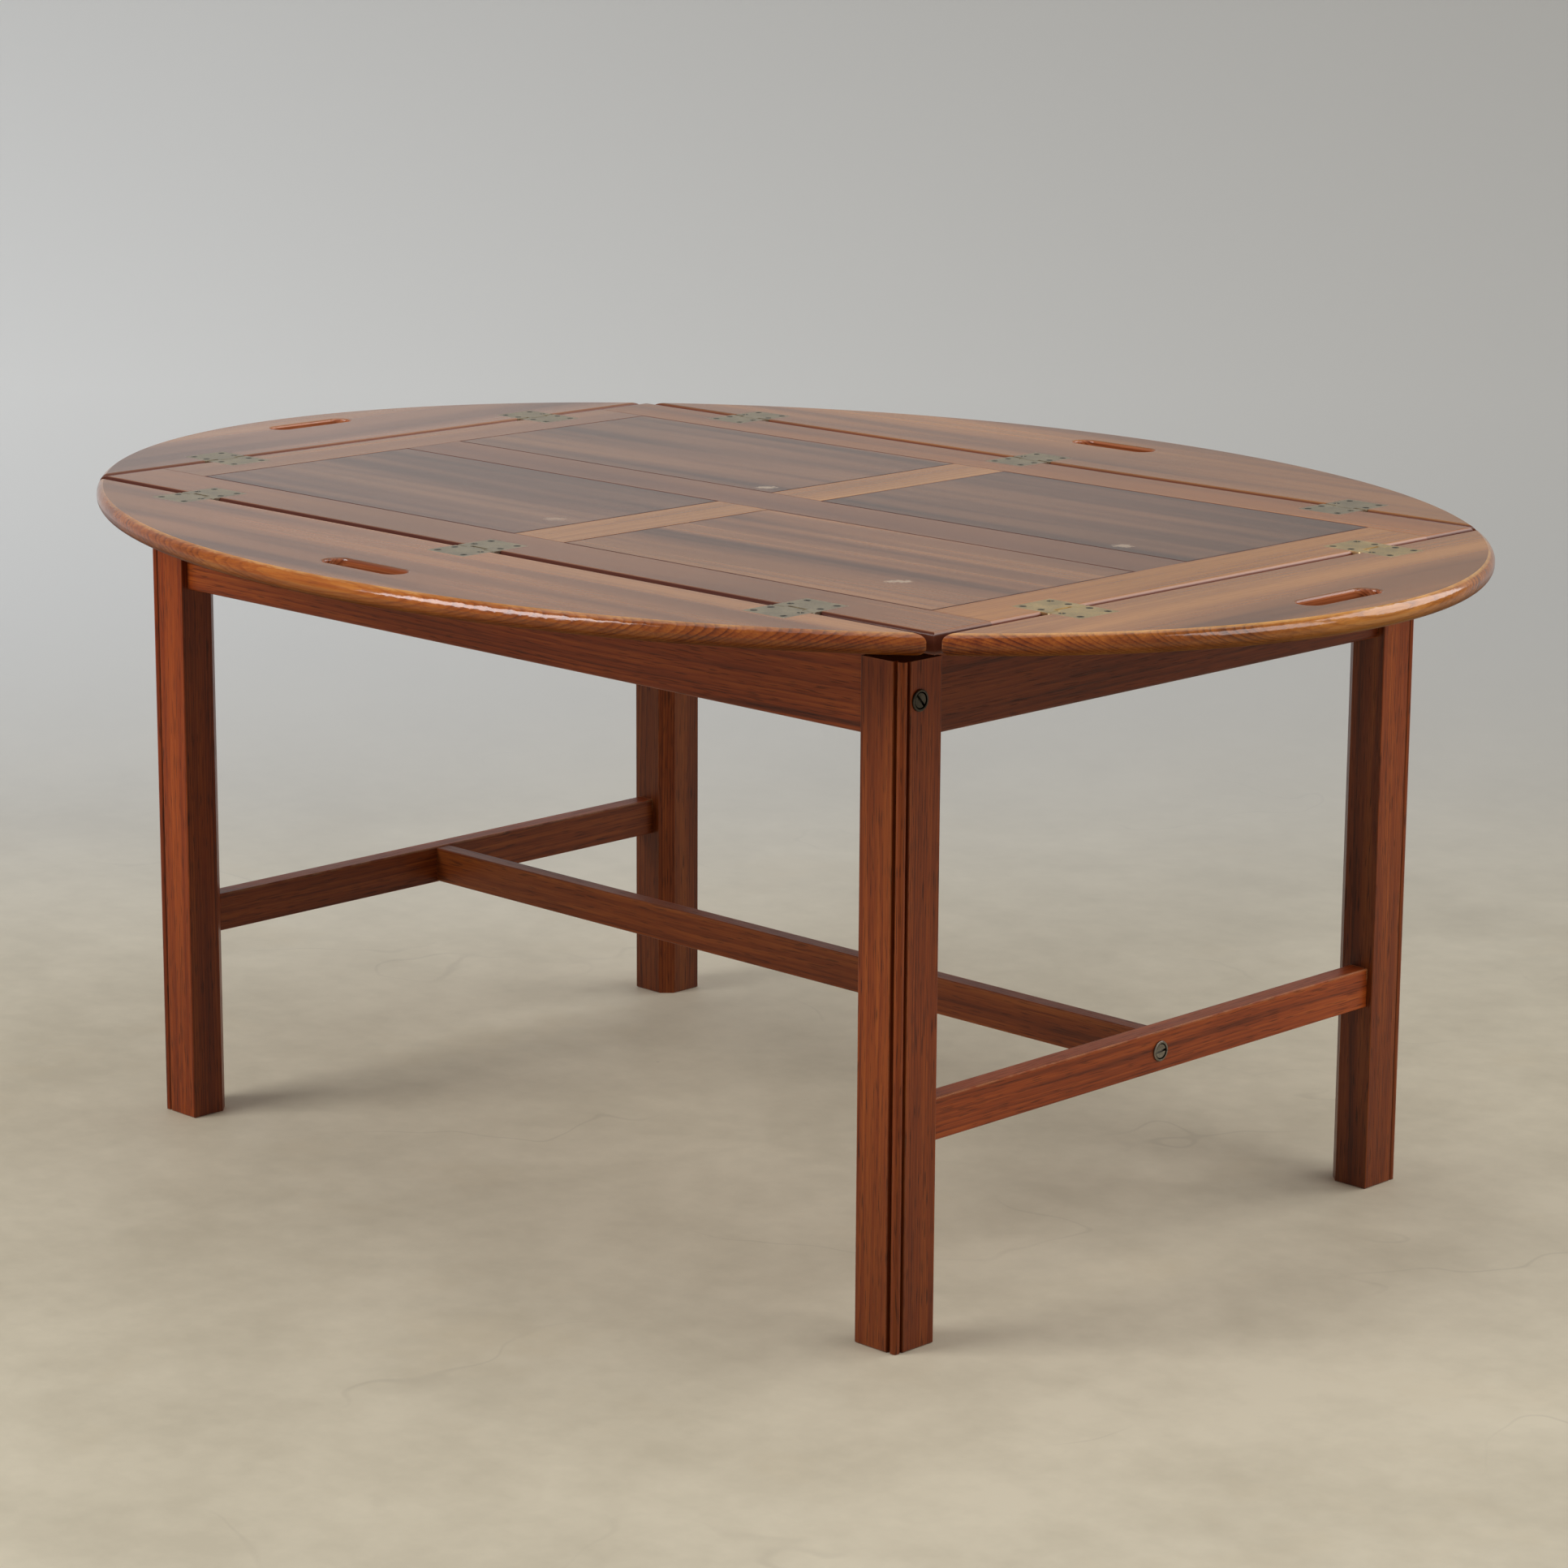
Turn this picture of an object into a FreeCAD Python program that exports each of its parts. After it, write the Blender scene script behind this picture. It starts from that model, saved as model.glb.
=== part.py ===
import FreeCAD, Part
import math, os
from FreeCAD import Vector as V, Placement, Rotation

os.makedirs("parts", exist_ok=True)

# ------------------------------------------------------------------ dimensions, mm
# frame: X along the long side, Y from the near long side to the far one, Z up,
# origin on the floor under the middle of the table

# stand
LEG_X, LEG_Y = 399.0, 278.0        # half length and half width over the legs
LEG_S = 38.2                       # leg section
LEG_H = 478.0                      # leg height = top of the stand
LEG_CH = 10.0                      # chamfer on the inner corner of a leg
BEAD_R, BEAD_C = 3.3, 3.7          # corner bead and its centre
QUIRK_X, QUIRK_Y = 8.6, 7.8        # reach of its quirks along X and along Y
EASE = 1.0                         # round on the legs' sharp corners, chamfer round their feet
AP_H, AP_T, AP_IN = 54.0, 21.0, 6.0     # apron height, thickness, set-back from the leg face
AP_R = 2.0                         # round along the lower outer edge of an apron
STUB = 6.0                         # stub tenon of a long apron
TEN = 14.0                         # tenon of an end apron or end stretcher
ES_IN, ES_T = 5.0, 16.0            # end stretcher set-back and thickness
ES_Z0, ES_Z1 = 142.0, 172.0
CS_T, CS_Z0, CS_Z1 = 14.0, 143.0, 171.0  # centre stretcher
BOLT_D, BOLT_HOLE = 6.0, 6.4
HEAD_D, COLLAR_D, SLEEVE_D = 10.0, 15.0, 13.0
COLLAR_UP, SLEEVE_L = 1.4, 5.0

# tray
GAP_Z = 12.5                       # bearers lift the tray this far off the stand
T = 15.0                           # thickness of tray and leaves
ZB = LEG_H + GAP_Z                 # tray underside
ZT = ZB + T                        # tray top
A, B = 438.0, 290.5                # half length and half width of the tray
WS, WR = 54.0, 55.5                # width of end rails and long rails
MR, MU = 28.0, 26.5                # half width of mid rail and mullions
PANEL_T = 12.0
GRV, TNG = 6.0, 5.0                # groove depth, panel tongue
GZ0, GZ1 = -9.5, -4.5              # groove heights below the top
REVEAL = 0.3                       # gap round a panel
VEE, FINE = 0.5, 0.3              # eased edges along panel joints and frame joints
EDGE_R = 3.0                       # round on the tray's outer edge and leaf's inner edge
BR_X0, BR_X1, BR_Y, BR_DROP = 315.0, 355.0, 270.0, 10.0

# oval outline over the open leaves
OV_X, OV_Y = 584.0, 448.8
BULL, OVER = 7.9, 0.55             # bull-nose radius on the rim, and how far past the faces it runs
GAP = 6.6                          # gap between tray edge and leaf edge
TIP_X, TIP_Y = 437.2, 290.3        # how far the points of long and short leaves reach
HOLE_L, HOLE_W, HOLE_R = 80.0, 20.0, 2.2
HOLE_Y, HOLE_X = 398.0, 540.0      # hand-hole centres on long and short leaves

# hinges
H_L, H_P, H_T = 39.0, 27.6, 2.2    # length, plate width, plate thickness
KN_R, AX_D = 3.0, 3.0              # knuckle radius, axis depth below the top
KN_C = 8.3                         # half length of the middle knuckle
KN_G = 0.3                         # end play between knuckles
PIN_R, RUN = 1.2, 0.05             # pin radius, running clearance
SC_HEAD, SC_R, SC_L = 2.6, 1.3, 10.0
LONG_H = (-316.0, 0.0, 316.0)      # hinge places along the long sides
SHORT_H = (-166.5, 166.5)          # hinge places along the short sides


# ------------------------------------------------------------------ helpers
def box(x0, x1, y0, y1, z0, z1):
    return Part.makeBox(x1 - x0, y1 - y0, z1 - z0, V(x0, y0, z0))


def cyl(r, p0, p1):
    d = p1.sub(p0)
    return Part.makeCylinder(r, d.Length, p0, d)


def fuse(items):
    s = items[0]
    for i in items[1:]:
        s = s.fuse(i)
    return s.removeSplitter()


def cut(s, items):
    for i in items:
        s = s.cut(i)
    return s


def save(name, shape):
    solids = shape.Solids
    assert solids and all(q.isValid() and q.Volume > 0 for q in solids), name
    out = solids[0] if len(solids) == 1 else Part.makeCompound(solids)
    out.exportStep("parts/" + name + ".step")
    print(name, len(solids), round(sum(q.Volume for q in solids), 1))


def moved(s, pl):
    c = s.copy()
    c.Placement = pl.multiply(c.Placement)
    return c


def long_edges(s, axis, test):
    out = []
    for e in s.Edges:
        if len(e.Vertexes) != 2:
            continue
        d = e.Vertexes[1].Point.sub(e.Vertexes[0].Point)
        if abs(abs(d.dot(axis)) - d.Length) < 1e-6 and test(e.CenterOfMass):
            out.append(e)
    return out


def edge_rounder(x0, x1, r, z, below):
    """Waste along a straight edge on y = 0, material on the -y side, top (or bottom) at z."""
    k = -1.0 if below else 1.0
    q = 2.0
    sq = box(x0, x1, -r, q, min(z - k * r, z + k * q), max(z - k * r, z + k * q))
    return sq.cut(Part.makeCylinder(r, x1 - x0, V(x0, -r, z - k * r), V(1, 0, 0)))


# ------------------------------------------------------------------ hinge places
# local hinge frame: u outwards from the tray edge, s along it, z from the tray top
def place(side, at):
    if side == "right":
        return Placement(V(A, at, ZT), Rotation(V(0, 0, 1), 0))
    if side == "left":
        return Placement(V(-A, at, ZT), Rotation(V(0, 0, 1), 180))
    if side == "back":
        return Placement(V(at, B, ZT), Rotation(V(0, 0, 1), 90))
    return Placement(V(at, -B, ZT), Rotation(V(0, 0, 1), -90))


SIDES = {"front": LONG_H, "back": LONG_H, "left": SHORT_H, "right": SHORT_H}
SC_U_TRAY = (-22.0, -6.0)
SC_U_LEAF = (GAP + 6.0, GAP + 22.0)
SC_S = (-13.8, 13.8)


def screw_blank(u, s):
    cone = Part.makeCone(SC_R, SC_HEAD, SC_HEAD - SC_R, V(u, s, -0.1 - (SC_HEAD - SC_R)), V(0, 0, 1))
    land = Part.makeCylinder(SC_HEAD, 0.1, V(u, s, -0.1))
    shank = Part.makeCylinder(SC_R, SC_L - 1.5, V(u, s, -SC_L + 0.7), V(0, 0, 1))
    tip = Part.makeCone(0.4, SC_R, 1.0, V(u, s, -SC_L - 0.3), V(0, 0, 1))
    return fuse([land, cone, shank, tip])


def screw_slot(u, s, deg):
    b = box(-3.5, 3.5, -0.4, 0.4, -0.9, 0.5)
    return moved(b, Placement(V(u, s, 0), Rotation(V(0, 0, 1), deg)))


def tray_plate():
    s0 = KN_C + KN_G
    parts = [box(-H_P, 0, -H_L / 2, H_L / 2, -H_T, 0)]
    for a0, a1 in ((-H_L / 2, -s0), (s0, H_L / 2)):
        parts.append(box(-1.0, GAP / 2, a0, a1, -H_T, 0))
        parts.append(cyl(KN_R, V(GAP / 2, a0, -AX_D), V(GAP / 2, a1, -AX_D)))
    return cut(fuse(parts), [cyl(PIN_R, V(GAP / 2, -H_L, -AX_D), V(GAP / 2, H_L, -AX_D))])


def leaf_plate():
    parts = [box(GAP, GAP + H_P, -H_L / 2, H_L / 2, -H_T, 0),
             box(GAP / 2, GAP + 1.0, -KN_C, KN_C, -H_T, 0),
             cyl(KN_R, V(GAP / 2, -KN_C, -AX_D), V(GAP / 2, KN_C, -AX_D))]
    return cut(fuse(parts), [cyl(PIN_R + RUN, V(GAP / 2, -H_L, -AX_D), V(GAP / 2, H_L, -AX_D))])


tray_plates, leaf_plates, pins = {}, {}, []
tray_screws, leaf_screws = [], {k: [] for k in SIDES}
tray_cut = []                       # recesses and screw holes in the tray's wood
leaf_cut = {k: [] for k in SIDES}
turn = 17.0
for side, spots in SIDES.items():
    for n, at in enumerate(spots, 1):
        pl = place(side, at)
        tp, lp = tray_plate(), leaf_plate()
        for plate, us, screws, waste in ((tp, SC_U_TRAY, tray_screws, tray_cut),
                                         (lp, SC_U_LEAF, leaf_screws[side], leaf_cut[side])):
            for u in us:
                for s in SC_S:
                    blank = screw_blank(u, s)
                    turn = (turn + 67.0) % 180.0
                    screws.append(moved(blank.cut(screw_slot(u, s, turn)), pl))
                    waste.append(moved(blank, pl))
                    if plate is tp:
                        tp = tp.cut(blank)
                        plate = tp
                    else:
                        lp = lp.cut(blank)
                        plate = lp
        tray_cut.append(moved(box(-H_P, 1.0, -H_L / 2, H_L / 2, -H_T, 1.0), pl))
        leaf_cut[side].append(moved(box(GAP - 1.0, GAP + H_P, -H_L / 2, H_L / 2, -H_T, 1.0), pl))
        tray_plates[(side, n)] = moved(tp, pl)
        leaf_plates[(side, n)] = moved(lp, pl)
        pins.append(moved(cyl(PIN_R, V(GAP / 2, -H_L / 2, -AX_D), V(GAP / 2, H_L / 2, -AX_D)), pl))


# ------------------------------------------------------------------ stand: legs
def leg_blank(sx, sy):
    def pt(p, q, z=0.0):
        return V(sx * (LEG_X - p), sy * (LEG_Y - q), z)

    def line(a, b):
        return Part.LineSegment(pt(*a), pt(*b)).toShape()

    def arc(a, m, b):
        return Part.Arc(pt(*a), pt(*m), pt(*b)).toShape()

    h = math.sqrt(0.5)
    k, m = BEAD_C - BEAD_R * h, EASE * (1 - h)
    e, f = LEG_S - EASE, 0.5
    edges = [line((QUIRK_X + f, 0), (e, 0)), arc((e, 0), (LEG_S - m, m), (LEG_S, EASE)),
             line((LEG_S, EASE), (LEG_S, LEG_S - LEG_CH)), line((LEG_S, LEG_S - LEG_CH), (LEG_S - LEG_CH, LEG_S)),
             line((LEG_S - LEG_CH, LEG_S), (EASE, LEG_S)), arc((EASE, LEG_S), (m, LEG_S - m), (0, e)),
             line((0, e), (0, QUIRK_Y + f)), line((0, QUIRK_Y + f), (f, QUIRK_Y)),
             line((f, QUIRK_Y), (BEAD_C, QUIRK_Y)), line((BEAD_C, QUIRK_Y), (BEAD_C, BEAD_C + BEAD_R)),
             arc((BEAD_C, BEAD_C + BEAD_R), (k, k), (BEAD_C + BEAD_R, BEAD_C)),
             line((BEAD_C + BEAD_R, BEAD_C), (QUIRK_X, BEAD_C)), line((QUIRK_X, BEAD_C), (QUIRK_X, f)),
             line((QUIRK_X, f), (QUIRK_X + f, 0))]
    leg = Part.Face(Part.Wire(edges)).extrude(V(0, 0, LEG_H))
    # the foot is chamfered all round
    g = 0.2
    x0, x1 = sorted((sx * (LEG_X + g), sx * (LEG_X - LEG_S - g)))
    y0, y1 = sorted((sy * (LEG_Y + g), sy * (LEG_Y - LEG_S - g)))
    shoe = box(x0, x1, y0, y1, 0, LEG_H + 1.0)
    shoe = shoe.makeChamfer(EASE + g, [q for q in shoe.Edges if abs(q.BoundBox.ZMax) < 1e-6])
    return leg.common(shoe)


AX0, AX1 = LEG_X - LEG_S, LEG_X            # leg faces along X
AY0, AY1 = LEG_Y - LEG_S, LEG_Y
AP_Z0 = LEG_H - AP_H
BOLT_Y = LEG_Y - AP_IN - AP_T / 2          # bolt line in a long apron
BOLT_Z = LEG_H - AP_H / 2
CS_Z = (CS_Z0 + CS_Z1) / 2


def long_apron(sy):
    y0, y1 = sorted((sy * (LEG_Y - AP_IN), sy * (LEG_Y - AP_IN - AP_T)))
    body = box(-AX0, AX0, y0, y1, AP_Z0, LEG_H)
    yo = sy * (LEG_Y - AP_IN)
    e = long_edges(body, V(1, 0, 0), lambda c: abs(c.y - yo) < 1e-6 and abs(c.z - AP_Z0) < 1e-6)
    body = body.makeFillet(AP_R, e)
    t0, t1 = sorted((sy * (LEG_Y - 10.0), sy * (LEG_Y - 23.0)))
    return fuse([body, box(-AX0 - STUB, AX0 + STUB, t0, t1, AP_Z0 + 7.0, LEG_H - 7.0)])


def end_apron(sx):
    x0, x1 = sorted((sx * (LEG_X - AP_IN), sx * (LEG_X - AP_IN - AP_T)))
    body = box(x0, x1, -AY0, AY0, AP_Z0, LEG_H)
    xo = sx * (LEG_X - AP_IN)
    e = long_edges(body, V(0, 1, 0), lambda c: abs(c.x - xo) < 1e-6 and abs(c.z - AP_Z0) < 1e-6)
    body = body.makeFillet(AP_R, e)
    t0, t1 = sorted((sx * (LEG_X - 12.0), sx * (LEG_X - 21.0)))
    return fuse([body, box(t0, t1, -AY0 - TEN, AY0 + TEN, AP_Z0 + 7.0, LEG_H - 7.0)])


def end_stretcher(sx):
    x0, x1 = sorted((sx * (LEG_X - ES_IN), sx * (LEG_X - ES_IN - ES_T)))
    body = box(x0, x1, -AY0, AY0, ES_Z0, ES_Z1)
    body = body.makeFillet(1.0, long_edges(body, V(0, 1, 0), lambda c: True))
    t0, t1 = sorted((sx * (LEG_X - 9.0), sx * (LEG_X - 17.0)))
    return fuse([body, box(t0, t1, -AY0 - TEN, AY0 + TEN, ES_Z0 + 4.0, ES_Z1 - 4.0)])


CSX = LEG_X - ES_IN - ES_T                  # inner face of the end stretchers


def centre_stretcher():
    body = box(-CSX, CSX, -CS_T / 2, CS_T / 2, CS_Z0, CS_Z1)
    return body.makeFillet(1.0, long_edges(body, V(1, 0, 0), lambda c: True))


def bolt_set(sx, xf, y, z, reach, deg):
    """Bolt, collar and the holes they need, entering a face at x = sx * xf."""
    def p(x):
        return V(sx * x, y, z)

    head = cyl(HEAD_D / 2, p(xf - SLEEVE_L + 1.5), p(xf + COLLAR_UP - 0.5))
    shank = cyl(BOLT_D / 2, p(xf - reach), p(xf - SLEEVE_L + 2.0))
    slot = box(-1.6, 1.6, -6.0, 6.0, -0.9, 0.9)
    slot = moved(slot, Placement(p(xf + COLLAR_UP - 0.5), Rotation(V(1, 0, 0), deg)))
    bolt = fuse([head, shank]).cut(slot)
    flange = cyl(COLLAR_D / 2, p(xf), p(xf + COLLAR_UP))
    e = [q for q in flange.Edges if q.Closed and abs(q.CenterOfMass.x - sx * (xf + COLLAR_UP)) < 1e-6]
    flange = flange.makeFillet(0.7, e)
    collar = fuse([flange, cyl(SLEEVE_D / 2, p(xf - SLEEVE_L), p(xf))])
    collar = cut(collar, [cyl(HEAD_D / 2 + 0.9, p(xf - SLEEVE_L + 1.5), p(xf + COLLAR_UP + 1.0)),
                          cyl(BOLT_HOLE / 2, p(xf - SLEEVE_L - 1.0), p(xf))])
    waste = [cyl(SLEEVE_D / 2, p(xf - SLEEVE_L), p(xf + 1.0)),
             cyl(BOLT_HOLE / 2, p(xf - reach - 2.0), p(xf))]
    return bolt, collar, waste


bolts, collars, nuts, stand_cut = [], [], [], []
NUT_IN = 28.0
for sx in (-1, 1):
    for sy in (-1, 1):
        b, c, w = bolt_set(sx, LEG_X, sy * BOLT_Y, BOLT_Z, LEG_S + 38.0, 48.0 * sx * sy)
        bolts.append(b)
        collars.append(c)
        stand_cut += w
        xn = sx * (AX0 - NUT_IN)
        n = cyl(5.0, V(xn, sy * (BOLT_Y - 7.0), BOLT_Z), V(xn, sy * (BOLT_Y + 7.0), BOLT_Z))
        nuts.append(n.cut(cyl(BOLT_D / 2, V(xn - 9, sy * BOLT_Y, BOLT_Z), V(xn + 9, sy * BOLT_Y, BOLT_Z))))
        stand_cut.append(cyl(5.0, V(xn, sy * (BOLT_Y - 20.0), BOLT_Z), V(xn, sy * (BOLT_Y + 7.0), BOLT_Z)))
    b, c, w = bolt_set(sx, LEG_X - ES_IN, 0.0, CS_Z, ES_T + 40.0, 4.0)
    bolts.append(b)
    collars.append(c)
    stand_cut += w
    xn = sx * (CSX - 30.0)
    n = cyl(4.5, V(xn, 0, CS_Z - 8.0), V(xn, 0, CS_Z + 8.0))
    nuts.append(n.cut(cyl(BOLT_D / 2, V(xn - 9, 0, CS_Z), V(xn + 9, 0, CS_Z))))
    stand_cut.append(cyl(4.5, V(xn, 0, CS_Z0 - 5.0), V(xn, 0, CS_Z + 8.0)))

aprons_l = {"front": long_apron(-1), "back": long_apron(1)}
aprons_e = {"left": end_apron(-1), "right": end_apron(1)}
stretch_e = {"left": end_stretcher(-1), "right": end_stretcher(1)}
frame_parts = list(aprons_l.values()) + list(aprons_e.values()) + list(stretch_e.values())


def near(s, w):
    return s.BoundBox.intersect(w.BoundBox)


for name, sx, sy in (("leg_front_left", -1, -1), ("leg_front_right", 1, -1),
                     ("leg_back_left", -1, 1), ("leg_back_right", 1, 1)):
    s = leg_blank(sx, sy)
    save(name, cut(s, [w for w in frame_parts + stand_cut if near(s, w)]))
for k, s in aprons_l.items():
    save("long_apron_" + k, cut(s, [w for w in stand_cut if near(s, w)]))
for k, s in aprons_e.items():
    save("end_apron_" + k, s)
for k, s in stretch_e.items():
    save("end_stretcher_" + k, cut(s, [w for w in stand_cut if near(s, w)]))
cs = centre_stretcher()
save("centre_stretcher", cut(cs, [w for w in stand_cut if near(cs, w)]))
save("bolts", Part.makeCompound(bolts))
save("bolt_collars", Part.makeCompound(collars))
save("barrel_nuts", Part.makeCompound(nuts))


# ------------------------------------------------------------------ tray
XI, YI = A - WS, B - WR                     # inner edges of the tray's outer frame


def tz(d):
    return ZT + d


def mouth(x0, x1, y0, y1):
    """Waste that eases the top edges of the frame round a panel."""
    def loop(g, z):
        c = [V(x0 - g, y0 - g, z), V(x1 + g, y0 - g, z), V(x1 + g, y1 + g, z), V(x0 - g, y1 + g, z)]
        return Part.makePolygon(c + c[:1])

    return Part.makeLoft([loop(0, tz(-VEE)), loop(VEE + 1.0, tz(1.0))], True, True)


def vee(x0, y0, x1, y1):
    """Waste that eases both sides of a joint between two frame pieces."""
    d = V(x1 - x0, y1 - y0, 0)
    n = V(-d.y, d.x, 0).normalize()
    g = FINE + 1.0
    p = V(x0, y0, 0)
    c = [p + n * g + V(0, 0, tz(1.0)), p - n * g + V(0, 0, tz(1.0)), p + V(0, 0, tz(-FINE))]
    return Part.Face(Part.makePolygon(c + c[:1])).extrude(d)


panels = {}
grooves = []
joints = []
for k in (-1, 1):
    for q in (-1, 1):
        joints.append(vee(k * XI, q * YI, k * (A + 1.0), q * YI))
    joints.append(vee(k * XI, -MR, k * XI, MR))
    joints.append(vee(-MU, k * MR, MU, k * MR))
    joints.append(vee(-MU, k * YI, MU, k * YI))
for name, sx, sy in (("front_left", -1, -1), ("front_right", 1, -1), ("back_left", -1, 1), ("back_right", 1, 1)):
    x0, x1 = sorted((sx * MU, sx * XI))
    y0, y1 = sorted((sy * MR, sy * YI))
    b = box(x0 + REVEAL, x1 - REVEAL, y0 + REVEAL, y1 - REVEAL, tz(-PANEL_T), tz(0))
    top = [e for e in b.Edges if abs(e.CenterOfMass.z - tz(0)) < 1e-6]
    b = b.makeChamfer(VEE, top)
    t = box(x0 - TNG, x1 + TNG, y0 - TNG, y1 + TNG, tz(GZ0), tz(GZ1))
    panels[name] = fuse([b, t])
    grooves.append(box(x0 - GRV, x1 + GRV, y0 - GRV, y1 + GRV, tz(GZ0), tz(GZ1)))
    grooves.append(mouth(x0, x1, y0, y1))

TZ0, TZ1 = tz(-10.5), tz(-4.5)              # tenon heights
ten_end, ten_mid, ten_mul = [], [], []
end_rails, mullions = {}, {}
for k, sx in (("left", -1), ("right", 1)):
    x0, x1 = sorted((sx * XI, sx * A))
    t0, t1 = sorted((sx * (XI + 9.0), sx * (A - 12.0)))
    t = [box(t0, t1, YI, YI + 18.0, TZ0, TZ1), box(t0, t1, -YI - 18.0, -YI, TZ0, TZ1)]
    end_rails[k] = fuse([box(x0, x1, -YI, YI, ZB, ZT)] + t)
    ten_end += t
    m0, m1 = sorted((sx * XI, sx * (XI + 18.0)))
    ten_mid.append(box(m0, m1, -MR + 8.0, MR - 8.0, TZ0, TZ1))
mid_rail = fuse([box(-XI, XI, -MR, MR, ZB, ZT)] + ten_mid)
for k, sy in (("front", -1), ("back", 1)):
    y0, y1 = sorted((sy * MR, sy * YI))
    t = [box(-MU + 8.0, MU - 8.0, y0 - 14.0, y0, TZ0, TZ1), box(-MU + 8.0, MU - 8.0, y1, y1 + 14.0, TZ0, TZ1)]
    mullions[k] = fuse([box(-MU, MU, y0, y1, ZB, ZT)] + t)
    ten_mul += t
long_rails = {"front": box(-A, A, -B, -YI, ZB, ZT), "back": box(-A, A, YI, B, ZB, ZT)}

# rounds on the tray's outer edges, top and bottom
rounders = []
for z, below, r in ((ZT, False, EDGE_R), (ZB, True, 1.5)):
    rx = edge_rounder(-A - 5, A + 5, r, z, below)
    ry = edge_rounder(-B - 5, B + 5, r, z, below)
    rounders.append(moved(rx, Placement(V(0, B, 0), Rotation())))
    rounders.append(moved(rx, Placement(V(0, -B, 0), Rotation(V(0, 0, 1), 180))))
    rounders.append(moved(ry, Placement(V(A, 0, 0), Rotation(V(0, 0, 1), -90))))
    rounders.append(moved(ry, Placement(V(-A, 0, 0), Rotation(V(0, 0, 1), 90))))

# bearers under the tray, shouldered to drop inside the long aprons
bearers, br_screws, br_cut = {}, [], []
inner_y = LEG_Y - AP_IN - AP_T - 0.6
for k, sx in (("left", -1), ("right", 1)):
    x0, x1 = sorted((sx * BR_X0, sx * BR_X1))
    b = fuse([box(x0, x1, -BR_Y, BR_Y, LEG_H, ZB), box(x0, x1, -inner_y, inner_y, LEG_H - BR_DROP, ZB)])
    xm = sx * (BR_X0 + BR_X1) / 2
    for y in (-245.0, 0.0, 245.0):
        z0 = LEG_H - BR_DROP
        s = fuse([Part.makeCone(4.0, 2.0, 2.0, V(xm, y, z0 + 0.2), V(0, 0, 1)),
                  Part.makeCylinder(4.0, 0.2, V(xm, y, z0)),
                  Part.makeCylinder(2.0, 30.0, V(xm, y, z0 + 2.2))])
        br_cut.append(s)
        br_screws.append(s.cut(box(xm - 5, xm + 5, y - 0.6, y + 0.6, z0 - 1.0, z0 + 1.1)))
    bearers[k] = b
for k, s in bearers.items():
    save("bearer_" + k, cut(s, [w for w in br_cut if near(s, w)]))
save("bearer_screws", Part.makeCompound(br_screws))

wood_cut = rounders + tray_cut + br_cut + joints
for k, s in long_rails.items():
    save("long_rail_" + k, cut(s, [w for w in ten_end + ten_mul + grooves + wood_cut if near(s, w)]))
for k, s in end_rails.items():
    save("end_rail_" + k, cut(s, [w for w in ten_mid + grooves + wood_cut if near(s, w)]))
save("mid_rail", cut(mid_rail, [w for w in ten_mul + grooves + br_cut + joints if near(mid_rail, w)]))
for k, s in mullions.items():
    save("mullion_" + k, cut(s, [w for w in grooves + joints if near(s, w)]))
for k, s in panels.items():
    save("panel_" + k, s)


# ------------------------------------------------------------------ leaves
ell = Part.Ellipse(V(0, 0, ZB - OVER), OV_X, OV_Y).toShape()
oval = Part.Face(Part.Wire([ell])).extrude(V(0, 0, T + 2 * OVER))
rim = [e for e in oval.Edges if e.Closed and e.Length > 1000.0]
oval = oval.makeFillet(BULL, rim)


def slot_hole(cx, cy, along_x):
    h, r = HOLE_L / 2 - HOLE_W / 2, HOLE_W / 2
    z = ZB - 2.0
    p = [V(-h, -r, z), V(h, -r, z), V(h + r, 0, z), V(h, r, z), V(-h, r, z), V(-h - r, 0, z)]
    w = Part.Wire([Part.LineSegment(p[0], p[1]).toShape(), Part.Arc(p[1], p[2], p[3]).toShape(),
                   Part.LineSegment(p[3], p[4]).toShape(), Part.Arc(p[4], p[5], p[0]).toShape()])
    s = Part.Face(w).extrude(V(0, 0, T + 4.0))
    return moved(s, Placement(V(cx, cy, 0), Rotation(V(0, 0, 1), 0 if along_x else 90)))


def leaf(side):
    big = 700.0
    if side in ("front", "back"):
        sy = -1 if side == "front" else 1
        y0, y1 = sorted((sy * (B + GAP), sy * big))
        keep = box(-TIP_X, TIP_X, y0, y1, ZB, ZT)
        hole = slot_hole(0, sy * HOLE_Y, True)
        rl, pl = big, Placement(V(0, sy * (B + GAP), 0), Rotation(V(0, 0, 1), 0 if sy < 0 else 180))
    else:
        sx = -1 if side == "left" else 1
        x0, x1 = sorted((sx * (A + GAP), sx * big))
        keep = box(x0, x1, -TIP_Y, TIP_Y, ZB, ZT)
        hole = slot_hole(sx * HOLE_X, 0, False)
        rl, pl = big, Placement(V(sx * (A + GAP), 0, 0), Rotation(V(0, 0, 1), -90 if sx < 0 else 90))
    s = oval.common(keep).cut(hole)
    # hand-hole edges rounded over, top and bottom
    c = hole.BoundBox
    ring = [e for e in s.Edges
            if (abs(e.CenterOfMass.z - ZT) < 1e-6 or abs(e.CenterOfMass.z - ZB) < 1e-6)
            and c.XMin - 0.1 < e.BoundBox.XMin and e.BoundBox.XMax < c.XMax + 0.1
            and c.YMin - 0.1 < e.BoundBox.YMin and e.BoundBox.YMax < c.YMax + 0.1]
    s = s.makeFillet(HOLE_R, ring)
    top = moved(edge_rounder(-rl, rl, EDGE_R, ZT, False), pl)
    low = moved(edge_rounder(-rl, rl, 1.5, ZB, True), pl)
    return cut(s, [top, low] + leaf_cut[side])


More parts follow.
